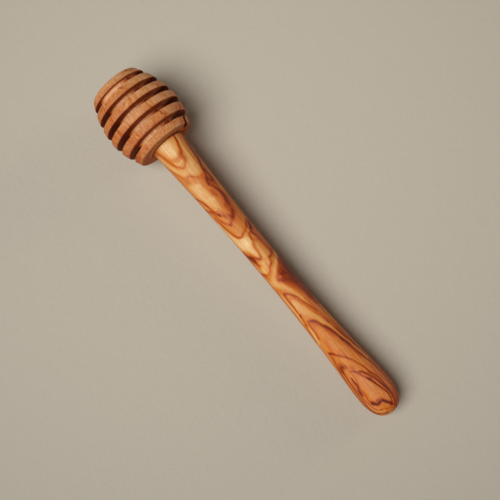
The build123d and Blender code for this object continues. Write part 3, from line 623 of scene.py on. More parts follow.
def wander(along, turn, size, waves, seed, longestMm=45):
    # smooth unevenness: size * sum of sines of the place along the piece and the turn round it, with
    # shorter and shorter waves, each divided by its number to the power 0.7
    random = np.random.default_rng(seed)
    total = np.zeros(np.broadcast(along, turn).shape)
    for number in range(waves):
        pace = (number + 1) * 2 * np.pi / longestMm * random.uniform(0.7, 1.3)
        lobes = random.integers(-3, 4)
        wave = np.sin(pace * along + lobes * np.radians(turn) + random.uniform(0, 6.28))
        total += wave / (number + 1) ** 0.7
    return size * total


def smoothPath(places, steps=4):
    # a curve through the places: each span is a cubic that leaves and arrives along the chord between its
    # neighbours
    points = np.array(places, float)
    ends = np.vstack([2 * points[0] - points[1], points, 2 * points[-1] - points[-2]])
    p0, p1, p2, p3 = (ends[k:len(ends) - 3 + k, None] for k in range(4))
    t = np.linspace(0, 1, steps, endpoint=False)[None, :, None]
    curve = 0.5 * (2 * p1 + (p2 - p0) * t + (2 * p0 - 5 * p1 + 4 * p2 - p3) * t ** 2
                   + (3 * p1 - p0 - 3 * p2 + p3) * t ** 3)
    return np.vstack([curve.reshape(-1, 3), points[-1:]])


def strokeNearness(along, turn, radius, path):
    # distance on the surface to the nearest part of the path, as a share of the path's half width there
    nearest = np.full(along.shape, 1e3)
    arc = np.radians(1) * radius
    for (x0, t0, w0), (x1, t1, w1) in zip(path[:-1], path[1:]):
        fromX, fromT = x0 - along, ((t0 - turn + 180) % 360 - 180) * arc
        runX, runT = x1 - x0, (t1 - t0) * arc
        share = np.clip(-(fromX * runX + fromT * runT) / (runX ** 2 + runT ** 2 + 1e-9), 0, 1)
        distance = np.hypot(fromX + share * runX, fromT + share * runT)
        nearest = np.minimum(nearest, distance / (w0 + share * (w1 - w0)))
    return nearest


def paintOrder(stroke):
    # soft grounds, of crispness 2, come first, then broad strokes, so that fine lines lie over them
    crispness, places = stroke[2:]
    return crispness > 2, -max(halfWidth for place, turn, halfWidth in places)


def paint(tone, along, turn, radius, strokes, thinnestMm=0.12):
    # each stroke pulls the tone towards its own: strength / (1 + nearness to the power of its crispness)
    rowPlace = along.mean(axis=1)
    for value, strength, crispness, places in sorted(strokes, key=paintOrder):
        path = smoothPath(places)
        path[:, 2] = np.maximum(path[:, 2], thinnestMm)
        reach = 5 * path[:, 2].max() + 0.5   # rows farther off hardly change
        near = (rowPlace > path[:, 0].min() - reach) & (rowPlace < path[:, 0].max() + reach)
        nearness = strokeNearness(along[near], turn[near], radius[near], path)
        tone[near] += strength / (1 + nearness ** crispness) * (value - tone[near])


def woodFigure(along, turn, radius):
    # the handle's tone: that of the growth layers, with the strokes painted over it
    s = figureSettings
    turn = np.broadcast_to((turn + 180) % 360 - 180, along.shape)
    x = along + wander(along, turn, s["strokeWanderMm"], s["strokeWaves"], s["seed"])
    t = turn + wander(along, turn, s["strokeWanderTurn"], s["strokeWaves"], s["seed"] + 1)
    # growth layers: depth = radius * (cosine(turn - crown turn) - 1) + climb * distance from the crest,
    # which is rounded off near it: square root of (distance squared + soft squared) - soft
    fromCrest = np.hypot(x - s["crestMm"], s["crestSoftMm"]) - s["crestSoftMm"]
    layer = radius * (np.cos(np.radians(t - s["crownTurn"])) - 1) + s["climb"] * fromCrest
    layer = layer + wander(along, turn, s["wanderMm"], s["wanderWaves"], s["seed"] + 2)
    tone = toneAt(layer, layerTones)
    paint(tone, x, t, np.maximum(radius, 1e-3), figureStrokes)
    # the thin growth lines belong to the flanks and the underside, where the layers are cut across
    fromCrown = np.abs((t - s["crownTurn"] + 180) % 360 - 180)
    flank = np.clip((fromCrown - s["flankFrom"]) / s["flankFade"], 0, 1)
    return {"tone": tone, "layer": layer, "flank": flank}


headFigureSettings = {
    "crownTurn": -12.0,
    "wanderMm": 0.35,
    "wanderWaves": 9,
    "strokeWanderMm": 0.06,
    "strokeWaves": 14,
    "seatMm": 0.05,           # faces this near to the seat's plane take its tones
    "endsMm": 0.3,            # faces this near to the head's ends aren't a groove's walls
    "paleWallMm": 0.2,        # walls that face the tip stay as pale as the ring so far below its edge
    "wallFadeMm": 0.5,        # and turn dark over this length
    "coreReachMm": 1.4,       # height above the core where its tones have faded
    "edgeTone": 0.44,         # orange edge beside every groove, on the side of the tip
    "edgeStrength": 0.45,
    "edgeInsetMm": 0.35,
    "edgeHalfWidthMm": 0.25,
    "edgeTurns": (-85, 25),
    "seed": 21,
}

# tone of the head's layers by height in millimetres, from the underside to the crown
headLayerTones = [
    (-15.3, 0.50), (-13, 0.47), (-11, 0.53), (-9, 0.46), (-7, 0.50), (-5.5, 0.42), (-4, 0.51), (-2, 0.45),
    (0, 0.56), (1.2, 0.50), (3, 0.57), (4.5, 0.53), (6, 0.58), (6.8, 0.53), (8, 0.59), (9.5, 0.56),
    (11, 0.58), (12.2, 0.54), (13.2, 0.57), (14, 0.61), (14.6, 0.58), (15.3, 0.62),
]

# tone by turn, degrees from the top, on the grooves' walls, on the core between them and on the seat's face.
# The walls are darker end grain with painted shade, near black, on their right side; the core is painted
# pale where light falls into the grooves and painted near black in the shade at both sides; the seat's face
# is painted lighter, most at the top: painted light
wallTonesWithPaintedShade = [
    (-180, 0.30), (-80, 0.21), (-60, 0.20), (-30, 0.26), (0, 0.30), (14, 0.22), (26, 0.04), (36, -0.14),
    (60, -0.12), (90, 0.16), (180, 0.30),
]
corePaintedLightAndShade = [
    (-180, 0.30), (-120, 0.20), (-96, -0.30), (-70, -0.25), (-62, 0.12), (-54, 0.50), (-40, 0.72),
    (-20, 0.80), (-6, 0.78), (6, 0.62), (14, 0.36), (22, -0.24), (28, -0.55), (70, -0.50), (110, 0.10),
    (180, 0.30),
]
seatTonesWithPaintedLight = [
    (-180, 0.46), (-90, 0.42), (-55, 0.52), (-30, 0.58), (0, 0.62), (20, 0.58), (45, 0.47), (60, 0.42),
    (90, 0.40), (180, 0.46),
]
# what the turn adds to the layers' tone on the rings: painted light, darker on the lit left side and paler
# on the shaded right side
ringPaintedLight = [
    (-180, 0.0), (-120, 0.0), (-80, -0.07), (-30, -0.07), (-15, -0.07), (0, -0.01), (12, 0.06), (60, 0.04),
    (110, 0.0), (180, 0.0),
]

# painted marks of the head, as for the handle; places above 0 lie on the seat's face, from its rim inwards
headStrokes = [
    # ground: the right side, which lies in shade, is painted paler than the layers alone make it, painted
    # light; the two end rings are paler too
    (0.84, 0.60, 2, [(-29.0, 40, 3.6), (-15.0, 40, 3.6), (-1.0, 38, 3.6)]),
    (0.82, 0.50, 2, [(-29.4, -70, 1.3), (-29.0, -20, 1.4), (-29.4, 20, 1.3)]),
    (0.66, 0.30, 2, [(-1.4, -60, 1.2), (-1.4, -10, 1.2), (-1.4, 20, 1.2)]),
    # ring at the tip
    (0.68, 0.5, 3, [(-29.6, -70, 0.6), (-29.2, -45, 0.7), (-29.3, -20, 0.6)]),
    (0.74, 0.5, 3, [(-29.4, -22, 0.3), (-28.8, -14, 0.35), (-28.2, -9, 0.3)]),
    (0.46, 0.5, 3, [(-28.9, -76, 0.4), (-28.5, -72, 0.5)]),
    (0.36, 0.6, 3, [(-29.3, 30, 0.4), (-28.8, 36, 0.6), (-28.0, 38, 0.5), (-27.4, 44, 0.5)]),
    # second ring, and the core before it, painted pale where light falls into the first groove: painted
    # light
    (0.88, 0.85, 4, [(-25.4, -48, 0.8), (-25.2, -30, 0.95), (-25.2, -12, 0.95), (-25.3, 3, 0.7)]),
    (0.62, 0.6, 3, [(-25.1, 9, 0.5), (-25.2, 18, 0.6)]),
    (0.46, 0.8, 3, [(-25.8, -58, 0.6), (-25.6, -66, 0.8), (-25.6, -76, 0.8)]),
    (0.30, 0.75, 3, [(-24.4, -6, 0.25), (-23.8, -3, 0.35), (-23.0, 0, 0.3), (-22.0, 2, 0.2)]),
    (0.38, 0.6, 3, [(-24.4, -47, 0.35), (-24.0, -52, 0.35), (-23.3, -49, 0.3)]),
    (0.60, 0.4, 3, [(-23.6, -30, 0.5), (-22.3, -24, 0.6)]),
    (0.46, 0.30, 3, [(-23.0, -76, 1.5), (-23.0, -40, 1.5), (-23.0, 4, 1.5)]),
    (0.64, 0.4, 3, [(-23.0, 12, 0.5), (-22.0, 10, 0.5)]),
    # third ring
    (0.72, 0.6, 3, [(-19.0, -38, 0.25), (-18.95, -15, 0.35), (-19.0, 8, 0.25)]),
    (0.78, 0.6, 3, [(-18.4, -8, 0.3), (-17.4, -13, 0.45), (-16.4, -17, 0.5)]),
    (0.84, 0.6, 3, [(-18.2, -1, 0.2), (-17.2, 0, 0.25), (-16.3, -1, 0.25)]),
    (0.44, 0.5, 3, [(-18.6, -46, 0.35), (-17.4, -43, 0.35), (-16.4, -45, 0.3)]),
    (0.66, 0.4, 3, [(-18.4, 16, 0.4), (-17.2, 20, 0.5), (-16.4, 18, 0.4)]),
    (0.36, 0.6, 3, [(-18.0, 41, 0.5), (-17.0, 47, 0.7), (-16.4, 44, 0.5)]),
    # fourth ring, the lightest
    (0.70, 0.6, 3, [(-13.6, -42, 0.25), (-13.6, -15, 0.4), (-13.7, 8, 0.25)]),
    (0.76, 0.5, 3, [(-12.9, -38, 0.4), (-12.3, -24, 0.8), (-12.1, -10, 0.7)]),
    (0.78, 0.5, 3, [(-11.3, -30, 0.4), (-11.0, -16, 0.5)]),
    (0.46, 0.5, 3, [(-12.6, 6, 0.4), (-11.6, 8, 0.45), (-10.8, 11, 0.4)]),
    (0.64, 0.5, 3, [(-13.0, 16, 0.4), (-12.0, 20, 0.4), (-11.0, 18, 0.4)]),
    (0.38, 0.5, 3, [(-13.0, 38, 0.6), (-11.6, 42, 0.7)]),
    # fifth ring with its pointed marks
    (0.72, 0.25, 3, [(-6.6, -74, 1.4), (-6.6, -40, 1.5), (-6.6, 0, 1.5), (-6.6, 20, 1.3)]),
    (0.70, 0.6, 3, [(-8.1, -40, 0.25), (-8.1, -15, 0.4), (-8.1, 12, 0.25)]),
    (0.70, 0.5, 3, [(-7.4, -8, 0.7), (-6.3, -9, 0.8), (-5.5, -10, 0.5)]),
    (0.88, 0.6, 3, [(-7.7, -20, 0.12), (-7.0, -16, 0.16), (-6.2, -20, 0.16), (-5.5, -23, 0.14)]),
    (0.36, 0.8, 3, [(-5.0, -2, 0.2), (-5.9, 0, 0.22), (-6.9, 3, 0.2)]),
    (0.62, 0.6, 3, [(-6.6, 8, 0.5), (-5.6, 8, 0.6)]),
    (0.28, 0.8, 3, [(-7.8, 15, 0.3), (-7.2, 18, 0.4), (-6.6, 17, 0.35), (-6.0, 21, 0.35),
                    (-5.3, 25, 0.25)]),
    (0.84, 0.7, 3, [(-7.7, 23, 0.14), (-7.0, 27, 0.18), (-6.4, 28, 0.16)]),
    (0.40, 0.5, 3, [(-7.6, 40, 0.8), (-6.0, 42, 0.9)]),
    (0.04, 0.75, 4, [(-7.9, 59, 0.22), (-6.6, 61, 0.28), (-5.5, 58, 0.24)]),
    (0.60, 0.5, 3, [(-8.0, 66, 0.4), (-6.5, 67, 0.5), (-4.9, 66, 0.4)]),
    # last ring, with a black line on its right side that runs on over the seat's face
    # painted shade, near black, in the right end of the last groove
    (-0.2, 0.75, 3, [(-3.4, 40, 0.35), (-3.5, 48, 0.6), (-3.4, 60, 0.65)]),
    (0.74, 0.6, 3, [(-2.8, -48, 0.3), (-2.7, -20, 0.5), (-2.8, 10, 0.3)]),
    (0.70, 0.5, 3, [(-1.9, -36, 0.4), (-1.6, -16, 0.5), (-1.8, 0, 0.4)]),
    (0.40, 0.5, 3, [(-1.6, -74, 0.4), (-0.6, -68, 0.5), (-0.1, -64, 0.4)]),
    (0.32, 0.75, 3, [(-2.9, 20, 0.25), (-2.4, 24, 0.35), (-1.9, 29, 0.3)]),
    (0.72, 0.6, 3, [(-2.4, 33, 0.15), (-1.2, 34, 0.2), (-0.1, 33, 0.2)]),
    (0.38, 0.5, 3, [(-2.2, 46, 0.8), (-0.8, 46, 0.9)]),
    (-0.3, 0.97, 6, [(-2.7, 60, 0.5), (-2.0, 58, 0.55), (-1.2, 57, 0.6), (-0.5, 57, 0.65), (0.3, 59, 0.6),
                     (1.0, 64, 0.6), (1.6, 70, 0.7), (2.0, 76, 0.4)]),
    (0.64, 0.7, 3, [(-2.4, 71, 0.6), (-1.2, 69, 0.7), (-0.2, 68, 0.5)]),
    (0.60, 0.7, 3, [(0.7, 84, 0.2), (2.2, 80, 0.25), (3.2, 77, 0.2)]),
    (0.16, 0.7, 3, [(1.4, 90, 0.5), (3.0, 98, 0.8), (4.4, 110, 0.5)]),
    (0.52, 0.6, 3, [(1.2, 118, 0.2), (2.2, 124, 0.25), (3.0, 130, 0.2)]),
    (0.66, 0.7, 3, [(0.3, -100, 0.4), (0.4, -60, 0.7), (0.6, -20, 0.8), (0.6, 10, 0.8), (0.4, 42, 0.6)]),
    (0.36, 0.7, 3, [(2.5, -78, 0.6), (2.6, -40, 0.6), (2.9, -14, 0.6), (3.0, 14, 0.6), (2.6, 40, 0.6)]),
    (0.84, 0.7, 3, [(4.2, -90, 0.4), (4.2, -60, 0.55), (4.2, -25, 0.5), (4.0, 0, 0.3)]),
    (0.66, 0.4, 3, [(1.8, 20, 0.15), (2.4, 30, 0.2), (3.4, 36, 0.2)]),
    # glue line round the handle, with painted shade of the joint, darkest on the shaded right side
    (0.16, 0.75, 3, [(5.3, -120, 0.2), (5.35, -80, 0.15), (5.35, -40, 0.2), (5.3, 0, 0.35), (5.3, 30, 0.45),
                     (5.3, 60, 0.55), (5.3, 100, 0.5), (5.3, 140, 0.3)]),
    (0.03, 0.8, 3, [(5.2, 10, 0.2), (5.2, 40, 0.4), (5.2, 70, 0.45), (5.2, 95, 0.3)]),
]


def ringEdges(s, ringEnds):
    # one thin stroke beside each groove
    firstTurn, lastTurn = s["edgeTurns"]
    width = s["edgeHalfWidthMm"]
    places = [end - s["edgeInsetMm"] for end in ringEnds]
    paths = [[(place, firstTurn, width), (place, lastTurn, width)] for place in places]
    return [(s["edgeTone"], s["edgeStrength"], 3, path) for path in paths]


def headFigure(outline, turn, coreRadius, rimRadius, ringEnds):
    # the layers lie level across the head: height = radius * cosine(turn - crown turn)
    s = headFigureSettings
    x, r = outline[:, :1], outline[:, 1:]
    step = np.gradient(outline, axis=0)
    rising, step = step[:, 1:] > 0, np.abs(step)
    facing = (step[:, 1] / np.maximum(step.sum(axis=1), 1e-9))[:, None]   # 1 on faces across the axis
    turn = np.broadcast_to((turn + 180) % 360 - 180, (len(x), len(turn)))
    layer = r * np.cos(np.radians(turn - s["crownTurn"]))
    layer = layer + wander(np.broadcast_to(x, turn.shape), turn, s["wanderMm"], s["wanderWaves"], s["seed"])
    onSeat = (x > -s["seatMm"]) * facing
    onWall = facing * (x < -s["endsMm"]) * (x > outline[0, 0] + s["endsMm"])
    belowEdge = rimRadius[:, None] - r
    onWall = onWall * np.where(rising, np.clip((belowEdge - s["paleWallMm"]) / s["wallFadeMm"], 0, 1), 1)
    onCore = (1 - facing) * np.clip(s["coreReachMm"] - (r - coreRadius), 0, 1)
    tone = toneAt(layer, headLayerTones) + toneAt(turn, ringPaintedLight)
    # walls, core and seat's face take their tones, with the painted light and shade in them
    for share, tones in ((onWall, wallTonesWithPaintedShade), (onCore, corePaintedLightAndShade), (onSeat, seatTonesWithPaintedLight)):
        tone = tone + share * (toneAt(turn, tones) - tone)
    # on the seat's face the place along is how far in from its rim it lies
    seatRim = outline[:, 1:].max(where=x > -s["seatMm"], initial=0)
    along = np.broadcast_to(x + onSeat * (seatRim - r), turn.shape)
    placed = along + wander(along, turn, s["strokeWanderMm"], s["strokeWaves"], s["seed"] + 1)
    paint(tone, placed, turn, np.broadcast_to(r, turn.shape), headStrokes + ringEdges(s, ringEnds))
    travelled = np.concatenate([[0], np.cumsum(np.linalg.norm(np.diff(outline, axis=0), axis=1))])
    grids = {"tone": tone, "layer": layer, "endGrain": facing, "travelled": travelled[:, None]}
    return {key: np.broadcast_to(grid, turn.shape) for key, grid in grids.items()}


head, seatPoint, jointPoint = buildHead(headSettings)
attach(head, "root")
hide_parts("dipper_head")

handle = buildHandle(handleSettings)
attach(handle, "root")
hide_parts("handle")
print("pieces built")


def linear(red, green, blue):
    # screen colour from 0 to 255 to the light it stands for: ((c / 255 + 0.055) / 1.055) to the power 2.4
    return tuple(((c / 255 + 0.055) / 1.055) ** 2.4 for c in (red, green, blue)) + (1.0,)


class Nodes:
    # a small helper that adds nodes, links their inputs and sets constants on the sockets
    def __init__(self, name):
        self.material = bpy.data.materials.new(name)
        self.material.use_nodes = True
        self.tree = self.material.node_tree
        self.shader = self.tree.nodes["Principled BSDF"]

    def add(self, kind, inputs=None, **options):
        node = self.tree.nodes.new(kind)
        for option, value in options.items():
            setattr(node, option, value)
        self.feed(node, inputs or {})
        return node

    def feed(self, node, inputs):
        for key, value in inputs.items():
            if isinstance(value, bpy.types.NodeSocket):
                self.tree.links.new(value, node.inputs[key])
            else:
                node.inputs[key].default_value = value

    def math(self, operation, *values):
        return self.add("ShaderNodeMath", dict(enumerate(values)), operation=operation).outputs[0]

    def ramp(self, factor, stops):
        node = self.add("ShaderNodeValToRGB", {"Fac": factor})
        while len(node.color_ramp.elements) < len(stops):
            node.color_ramp.elements.new(0.5)
        for element, (place, colour) in zip(node.color_ramp.elements, stops):
            element.position, element.color = place, colour
        return node.outputs["Color"]

    def field(self, name):
        # a value that the mesh carries at its vertices
        return self.add("ShaderNodeAttribute", attribute_name=name).outputs["Fac"]

    def combined(self, *parts):
        return self.add("ShaderNodeCombineXYZ", dict(enumerate(parts))).outputs[0]

    def layerNoise(self, layer, along, cells, detail, roughness):
        # noise whose cells lie along the growth layers: so many per millimetre of depth and per metre along
        place = self.combined(self.math("MULTIPLY", layer, cells[0]), self.math("MULTIPLY", along, cells[1]))
        return self.noise(place, 1.0, detail, roughness)

    def bump(self, height, strength, distance):
        inputs = {"Height": height, "Strength": strength, "Distance": distance}
        return self.add("ShaderNodeBump", inputs).outputs["Normal"]

    def patchy(self, colour, vector, scale, amount):
        # the colour's saturation times 1 + 2 * amount * (noise - 0.5)
        noise = self.noise(vector, scale, 2.0, 0.6)
        saturation = self.math("MULTIPLY_ADD", noise, 2 * amount, 1 - amount)
        inputs = {"Saturation": saturation, "Color": colour}
        return self.add("ShaderNodeHueSaturation", inputs).outputs["Color"]

    def noise(self, vector, scale, detail=2.0, roughness=0.5):
        inputs = {"Vector": vector, "Scale": scale, "Detail": detail, "Roughness": roughness}
        return self.add("ShaderNodeTexNoise", inputs).outputs["Fac"]


def intoAxes(nodes, origin, axes, stretch):
    # object coordinates seen from a piece's own axes: the rows of the turn are the axes
    turnMatrix = Matrix([list(axis) for axis in axes])
    shift = turnMatrix @ Vector(-np.array(origin))
    place = nodes.add("ShaderNodeTexCoord").outputs["Object"]
    inputs = {"Vector": place, "Location": shift, "Rotation": turnMatrix.to_euler()}
    local = nodes.add("ShaderNodeMapping", inputs).outputs["Vector"]
    scaled = nodes.add("ShaderNodeVectorMath", {0: local, 1: stretch}, operation="MULTIPLY")
    return local, scaled.outputs["Vector"]


handleWoodSettings = {
    "tones": [
        (0.00, linear(50, 18, 10)),
        (0.15, linear(108, 37, 15)),
        (0.30, linear(157, 65, 20)),
        (0.45, linear(185, 96, 35)),
        (0.60, linear(197, 124, 56)),
        (0.75, linear(206, 145, 79)),
        (0.90, linear(214, 169, 112)),
        (1.00, linear(227, 190, 144)),
    ],
    "fibreStretch": (120.0, 1600.0, 1600.0),   # cells per metre along, across and through
    "fibreDepth": 0.25,
    "layerDepth": 0.12,
    "patchScale": 0.45,                        # patches against the fibres' size
    "patchAmount": 0.10,
    "layerCells": (2.6, 45.0),                 # cells per millimetre of depth and per metre along
    "thinLineCells": (1.15, 16.0),
    "thinLineDepth": 0.21,
    "thinLineWidth": 0.042,                    # share of the noise's range that a thin line takes up
    "roughness": (0.50, 0.64),
    "bump": (0.25, 0.00006),                   # strength, and height in metres
    "shine": 0.21,
}


def handleWood(s):
    # tone - thin lines + sum of depth * 2 * (noise - 0.5), looked up in the colours
    nodes = Nodes("handleOliveWood")
    tone, layer, flank = (nodes.field(name) for name in ("tone", "layer", "flank"))
    local, stretched = intoAxes(nodes, jointPoint, handleAxes, s["fibreStretch"])
    along = nodes.add("ShaderNodeSeparateXYZ", {0: local}).outputs[0]
    fibre = nodes.noise(stretched, 1.0, 4.0, 0.65)
    lines = nodes.layerNoise(layer, along, s["layerCells"], 3.0, 0.6)
    fibrePart = nodes.math("MULTIPLY", nodes.math("SUBTRACT", fibre, 0.5), 2 * s["fibreDepth"])
    layerPart = nodes.math("MULTIPLY", nodes.math("SUBTRACT", lines, 0.5), 2 * s["layerDepth"])
    # thin dark lines where a slower noise crosses its middle: 1 - |noise - 0.5| / width, not below 0
    slow = nodes.layerNoise(layer, along, s["thinLineCells"], 1.5, 0.5)
    offMiddle = nodes.math("ABSOLUTE", nodes.math("SUBTRACT", slow, 0.5))
    thin = nodes.math("MAXIMUM", nodes.math("MULTIPLY_ADD", offMiddle, -1 / s["thinLineWidth"], 1.0), 0.0)
    thinPart = nodes.math("MULTIPLY", nodes.math("MULTIPLY", thin, flank), -s["thinLineDepth"])
    mixed = nodes.math("ADD", nodes.math("ADD", tone, thinPart), nodes.math("ADD", fibrePart, layerPart))
    colour = nodes.patchy(nodes.ramp(mixed, s["tones"]), stretched, s["patchScale"], s["patchAmount"])
    low, high = s["roughness"]
    nodes.feed(nodes.shader, {
        "Base Color": colour,
        "Roughness": nodes.math("MULTIPLY_ADD", fibre, high - low, low),
        "Specular IOR Level": s["shine"],
        "Normal": nodes.bump(fibre, *s["bump"]),
    })
    return nodes.material


headWoodSettings = {
    "tones": [
        (0.00, linear(40, 15, 7)),
        (0.15, linear(100, 31, 9)),
        (0.30, linear(150, 60, 19)),
        (0.45, linear(179, 96, 43)),
        (0.60, linear(190, 122, 68)),
        (0.75, linear(200, 144, 96)),
        (0.90, linear(216, 168, 124)),
        (1.00, linear(226, 188, 148)),
    ],
    "fineStretch": (190.0, 2100.0, 2100.0),     # cells per metre along, across and through
    "broadStretch": (70.0, 1000.0, 1000.0),
    "fineDepth": 0.46,
    "broadDepth": 0.12,
    "layerDepth": 0.12,
    "layerCells": (2.4, 60.0),                  # cells per millimetre of depth and per metre along
    "patchScale": 0.8,                          # patches against the broad cells' size
    "patchAmount": 0.10,
    "markCells": 3.2,                           # turning marks per millimetre over the outline
    "markDepth": 0.35,
    "bump": (0.35, 0.00008),                    # strength, and height in metres
    "roughness": (0.50, 0.64),
    "endRoughness": 0.80,
    "shine": (0.05, 0.24),                      # in the darkest grooves and on the rings
}


def headWood(s):
    # tone + sum of depth * 2 * (noise - 0.5), looked up in the colours; what is darkest shines least
    nodes = Nodes("headOliveWood")
    tone, layer = nodes.field("tone"), nodes.field("layer")
    endGrain, travelled = nodes.field("endGrain"), nodes.field("travelled")
    local, fineCells = intoAxes(nodes, seatPoint, headAxes, s["fineStretch"])
    along = nodes.add("ShaderNodeSeparateXYZ", {0: local}).outputs[0]
    broadInputs = {0: local, 1: s["broadStretch"]}
    broadCells = nodes.add("ShaderNodeVectorMath", broadInputs, operation="MULTIPLY").outputs[0]
    fine = nodes.noise(fineCells, 1.0, 3.0, 0.6)
    broad = nodes.noise(broadCells, 1.0, 3.0, 0.6)
    lines = nodes.layerNoise(layer, along, s["layerCells"], 3.0, 0.6)
    for pattern, depth in ((fine, s["fineDepth"]), (broad, s["broadDepth"]), (lines, s["layerDepth"])):
        tone = nodes.math("ADD", tone, nodes.math("MULTIPLY_ADD", pattern, 2 * depth, -depth))
    colour = nodes.patchy(nodes.ramp(tone, s["tones"]), broadCells, s["patchScale"], s["patchAmount"])
    low, high = s["roughness"]
    smooth = nodes.math("MULTIPLY_ADD", fine, high - low, low)
    turningMarks = nodes.noise(nodes.combined(travelled), s["markCells"])
    dark, pale = s["shine"]
    shine = {"Value": tone, "From Max": 0.25, "To Min": dark, "To Max": pale}
    nodes.feed(nodes.shader, {
        "Base Color": colour,
        "Roughness": nodes.add("ShaderNodeMix", {0: endGrain, 2: smooth, 3: s["endRoughness"]}).outputs[0],
        "Specular IOR Level": nodes.add("ShaderNodeMapRange", shine).outputs[0],
        "Normal": nodes.bump(nodes.math("MULTIPLY_ADD", turningMarks, s["markDepth"], fine), *s["bump"]),
    })
    return nodes.material


handle.data.materials.append(handleWood(handleWoodSettings))
head.data.materials.append(headWood(headWoodSettings))
print("materials made")


floorSettings = {
    "halfSize": 4.0,
    "colour": linear(184, 175, 159),
    # the floor is painted lightest round this place and darker away from it: a painted pool of light
    "paintedPoolCentre": (-0.045, 0.039),   # where the floor looks lightest, metres from the middle
    "paintedPoolShare": 1.02,
    "paintedPoolFading": 6.8,                  # share of the colour lost = this * metres from there squared
    "darkest": 0.72,
    "fade": (0.35, 1.4),            # metres from there over which the floor turns into the backdrop's colour
    "grain": (150.0, 5.0, 0.8),     # cells per metre, detail and roughness of the noise
    "grainBump": (0.60, 0.0005),    # strength, and height in metres
    "roughness": 0.9,
    "shine": 0.1,
}


def showingRays(tree):
    # 1 for the rays that show the backdrop: camera, glossy or transmission rays
    path = tree.nodes.new("ShaderNodeLightPath")
    total = path.outputs["Is Camera Ray"]
    for name in ("Is Glossy Ray", "Is Transmission Ray"):
        greater = tree.nodes.new("ShaderNodeMath")
        greater.operation = "MAXIMUM"
        tree.links.new(total, greater.inputs[0])
        tree.links.new(path.outputs[name], greater.inputs[1])
        total = greater.outputs[0]
    return total


def buildFloor(s):
    # a flat square: every corner is the half size along X and Y, at height 0
    corners = np.array([(-1, -1, 0), (1, -1, 0), (1, 1, 0), (-1, 1, 0)]) * s["halfSize"]
    mesh = bpy.data.meshes.new("floor")
    mesh.from_pydata(corners.tolist(), [], [(0, 1, 2, 3)])
    mesh.update()
    floor = bpy.data.objects.new("floor", mesh)
    bpy.context.scene.collection.objects.link(floor)
    nodes = Nodes("paleFloor")
    place = nodes.add("ShaderNodeTexCoord").outputs["Object"]
    # painted pool of light: share of the colour kept: share at the lightest place - fading * distance from
    # it squared
    paintedPoolCentre = (*s["paintedPoolCentre"], 0.0)
    away = nodes.add("ShaderNodeVectorMath", {0: place, 1: paintedPoolCentre}, operation="SUBTRACT").outputs[0]
    squared = nodes.add("ShaderNodeVectorMath", {0: away, 1: away}, operation="DOT_PRODUCT").outputs["Value"]
    kept = nodes.math("MULTIPLY_ADD", squared, -s["paintedPoolFading"], s["paintedPoolShare"])
    kept = nodes.math("MAXIMUM", kept, s["darkest"])
    shaded = nodes.add("ShaderNodeVectorMath", {0: s["colour"][:3], "Scale": kept}, operation="SCALE")
    nodes.feed(nodes.shader, {
        "Base Color": shaded.outputs[0],
        "Roughness": s["roughness"],
        "Specular IOR Level": s["shine"],
        "Normal": nodes.bump(nodes.noise(place, *s["grain"]), *s["grainBump"]),
    })
    # the far floor is seen in the backdrop's plain colour: share = smooth step of the distance
    near, far = s["fade"]
    limits = {"Value": nodes.math("SQRT", squared), "From Min": near, "From Max": far}
    faded = nodes.add("ShaderNodeMapRange", limits, interpolation_type="SMOOTHSTEP").outputs["Result"]
    plain = nodes.add("ShaderNodeEmission", {"Color": s["colour"]}).outputs[0]
    share = nodes.math("MULTIPLY", faded, showingRays(nodes.tree))
    mix = nodes.add("ShaderNodeMixShader", {0: share, 1: nodes.shader.outputs[0], 2: plain}).outputs[0]
    nodes.tree.links.new(mix, nodes.tree.nodes["Material Output"].inputs["Surface"])
    mesh.materials.append(nodes.material)


buildFloor(floorSettings)

lightSettings = {
    "lampDistance": 2.2,
    "keyLamp": {
        "from": (0.038, -0.999),         # level direction that the light comes from
        "height": 57.5,                  # degrees above the floor
        "size": 1.6,
        "power": 59.5,
        "colour": (0.95, 0.982, 1.0),
    },
    "fillLamp": {                        # it stands low on the shaded side
        "from": (0.15, 0.99),
        "height": 15.0,
        "size": 1.0,
        "power": 11.0,
        "colour": (1.0, 0.88, 0.78),
    },
    "worldColour": (1.0, 0.70, 0.54),    # light that comes back from a warm room
    "worldStrength": 0.085,
}


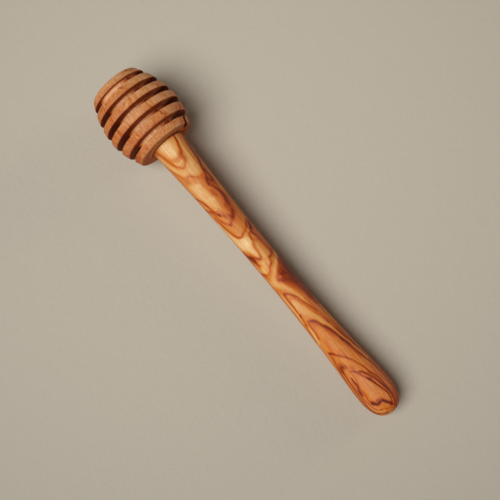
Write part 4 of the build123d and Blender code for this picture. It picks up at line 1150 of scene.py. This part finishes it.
def addLamp(name, distance, s):
    # a round lamp that looks at the origin: distance * (cosine of height * level direction, sine of height)
    lamp = bpy.data.lights.new(name, "AREA")
    lamp.shape, lamp.size, lamp.energy, lamp.color = "DISK", s["size"], s["power"], s["colour"]
    holder = bpy.data.objects.new(name, lamp)
    bpy.context.scene.collection.objects.link(holder)
    height = math.radians(s["height"])
    level = Vector((*s["from"], 0.0)).normalized() * math.cos(height)
    holder.location = (level + Vector((0, 0, math.sin(height)))) * distance
    holder.rotation_euler = (-holder.location).to_track_quat("-Z", "Y").to_euler()
    holder.visible_camera = False


def buildLights(s):
    # two lamps and a weak world; the rays that show the backdrop see the floor's colour instead
    for name in ("keyLamp", "fillLamp"):
        addLamp(name, s["lampDistance"], s[name])
    world = bpy.data.worlds.new("studio")
    world.use_nodes = True
    tree = world.node_tree
    tree.nodes.clear()
    plain = tree.nodes.new("ShaderNodeBackground")
    plain.inputs["Color"].default_value = (*s["worldColour"], 1.0)
    plain.inputs["Strength"].default_value = s["worldStrength"]
    seen = tree.nodes.new("ShaderNodeBackground")
    seen.inputs["Color"].default_value = floorSettings["colour"]
    mix = tree.nodes.new("ShaderNodeMixShader")
    output = tree.nodes.new("ShaderNodeOutputWorld")
    tree.links.new(showingRays(tree), mix.inputs[0])
    tree.links.new(plain.outputs[0], mix.inputs[1])
    tree.links.new(seen.outputs[0], mix.inputs[2])
    tree.links.new(mix.outputs[0], output.inputs[0])
    bpy.context.scene.world = world


buildLights(lightSettings)

cameraSettings = {
    "place": (0.069441, -0.057689, 0.390017),
    "target": (-0.000419, 0.000603, 0.0),
    "lens": 75.467,
    "sensor": 36.0,
    "seenBetween": (0.01, 20.0),
}


def buildCamera(s):
    # it looks from its place at the target
    camera = bpy.data.objects.new("camera", bpy.data.cameras.new("camera"))
    bpy.context.scene.collection.objects.link(camera)
    camera.data.lens, camera.data.sensor_width = s["lens"], s["sensor"]
    camera.data.clip_start, camera.data.clip_end = s["seenBetween"]
    camera.location = s["place"]
    camera.rotation_euler = (Vector(s["target"]) - Vector(s["place"])).to_track_quat("-Z", "Y").to_euler()
    bpy.context.scene.camera = camera


buildCamera(cameraSettings)
bpy.context.scene.view_settings.view_transform = "Standard"
print("floor, lights and camera ready")
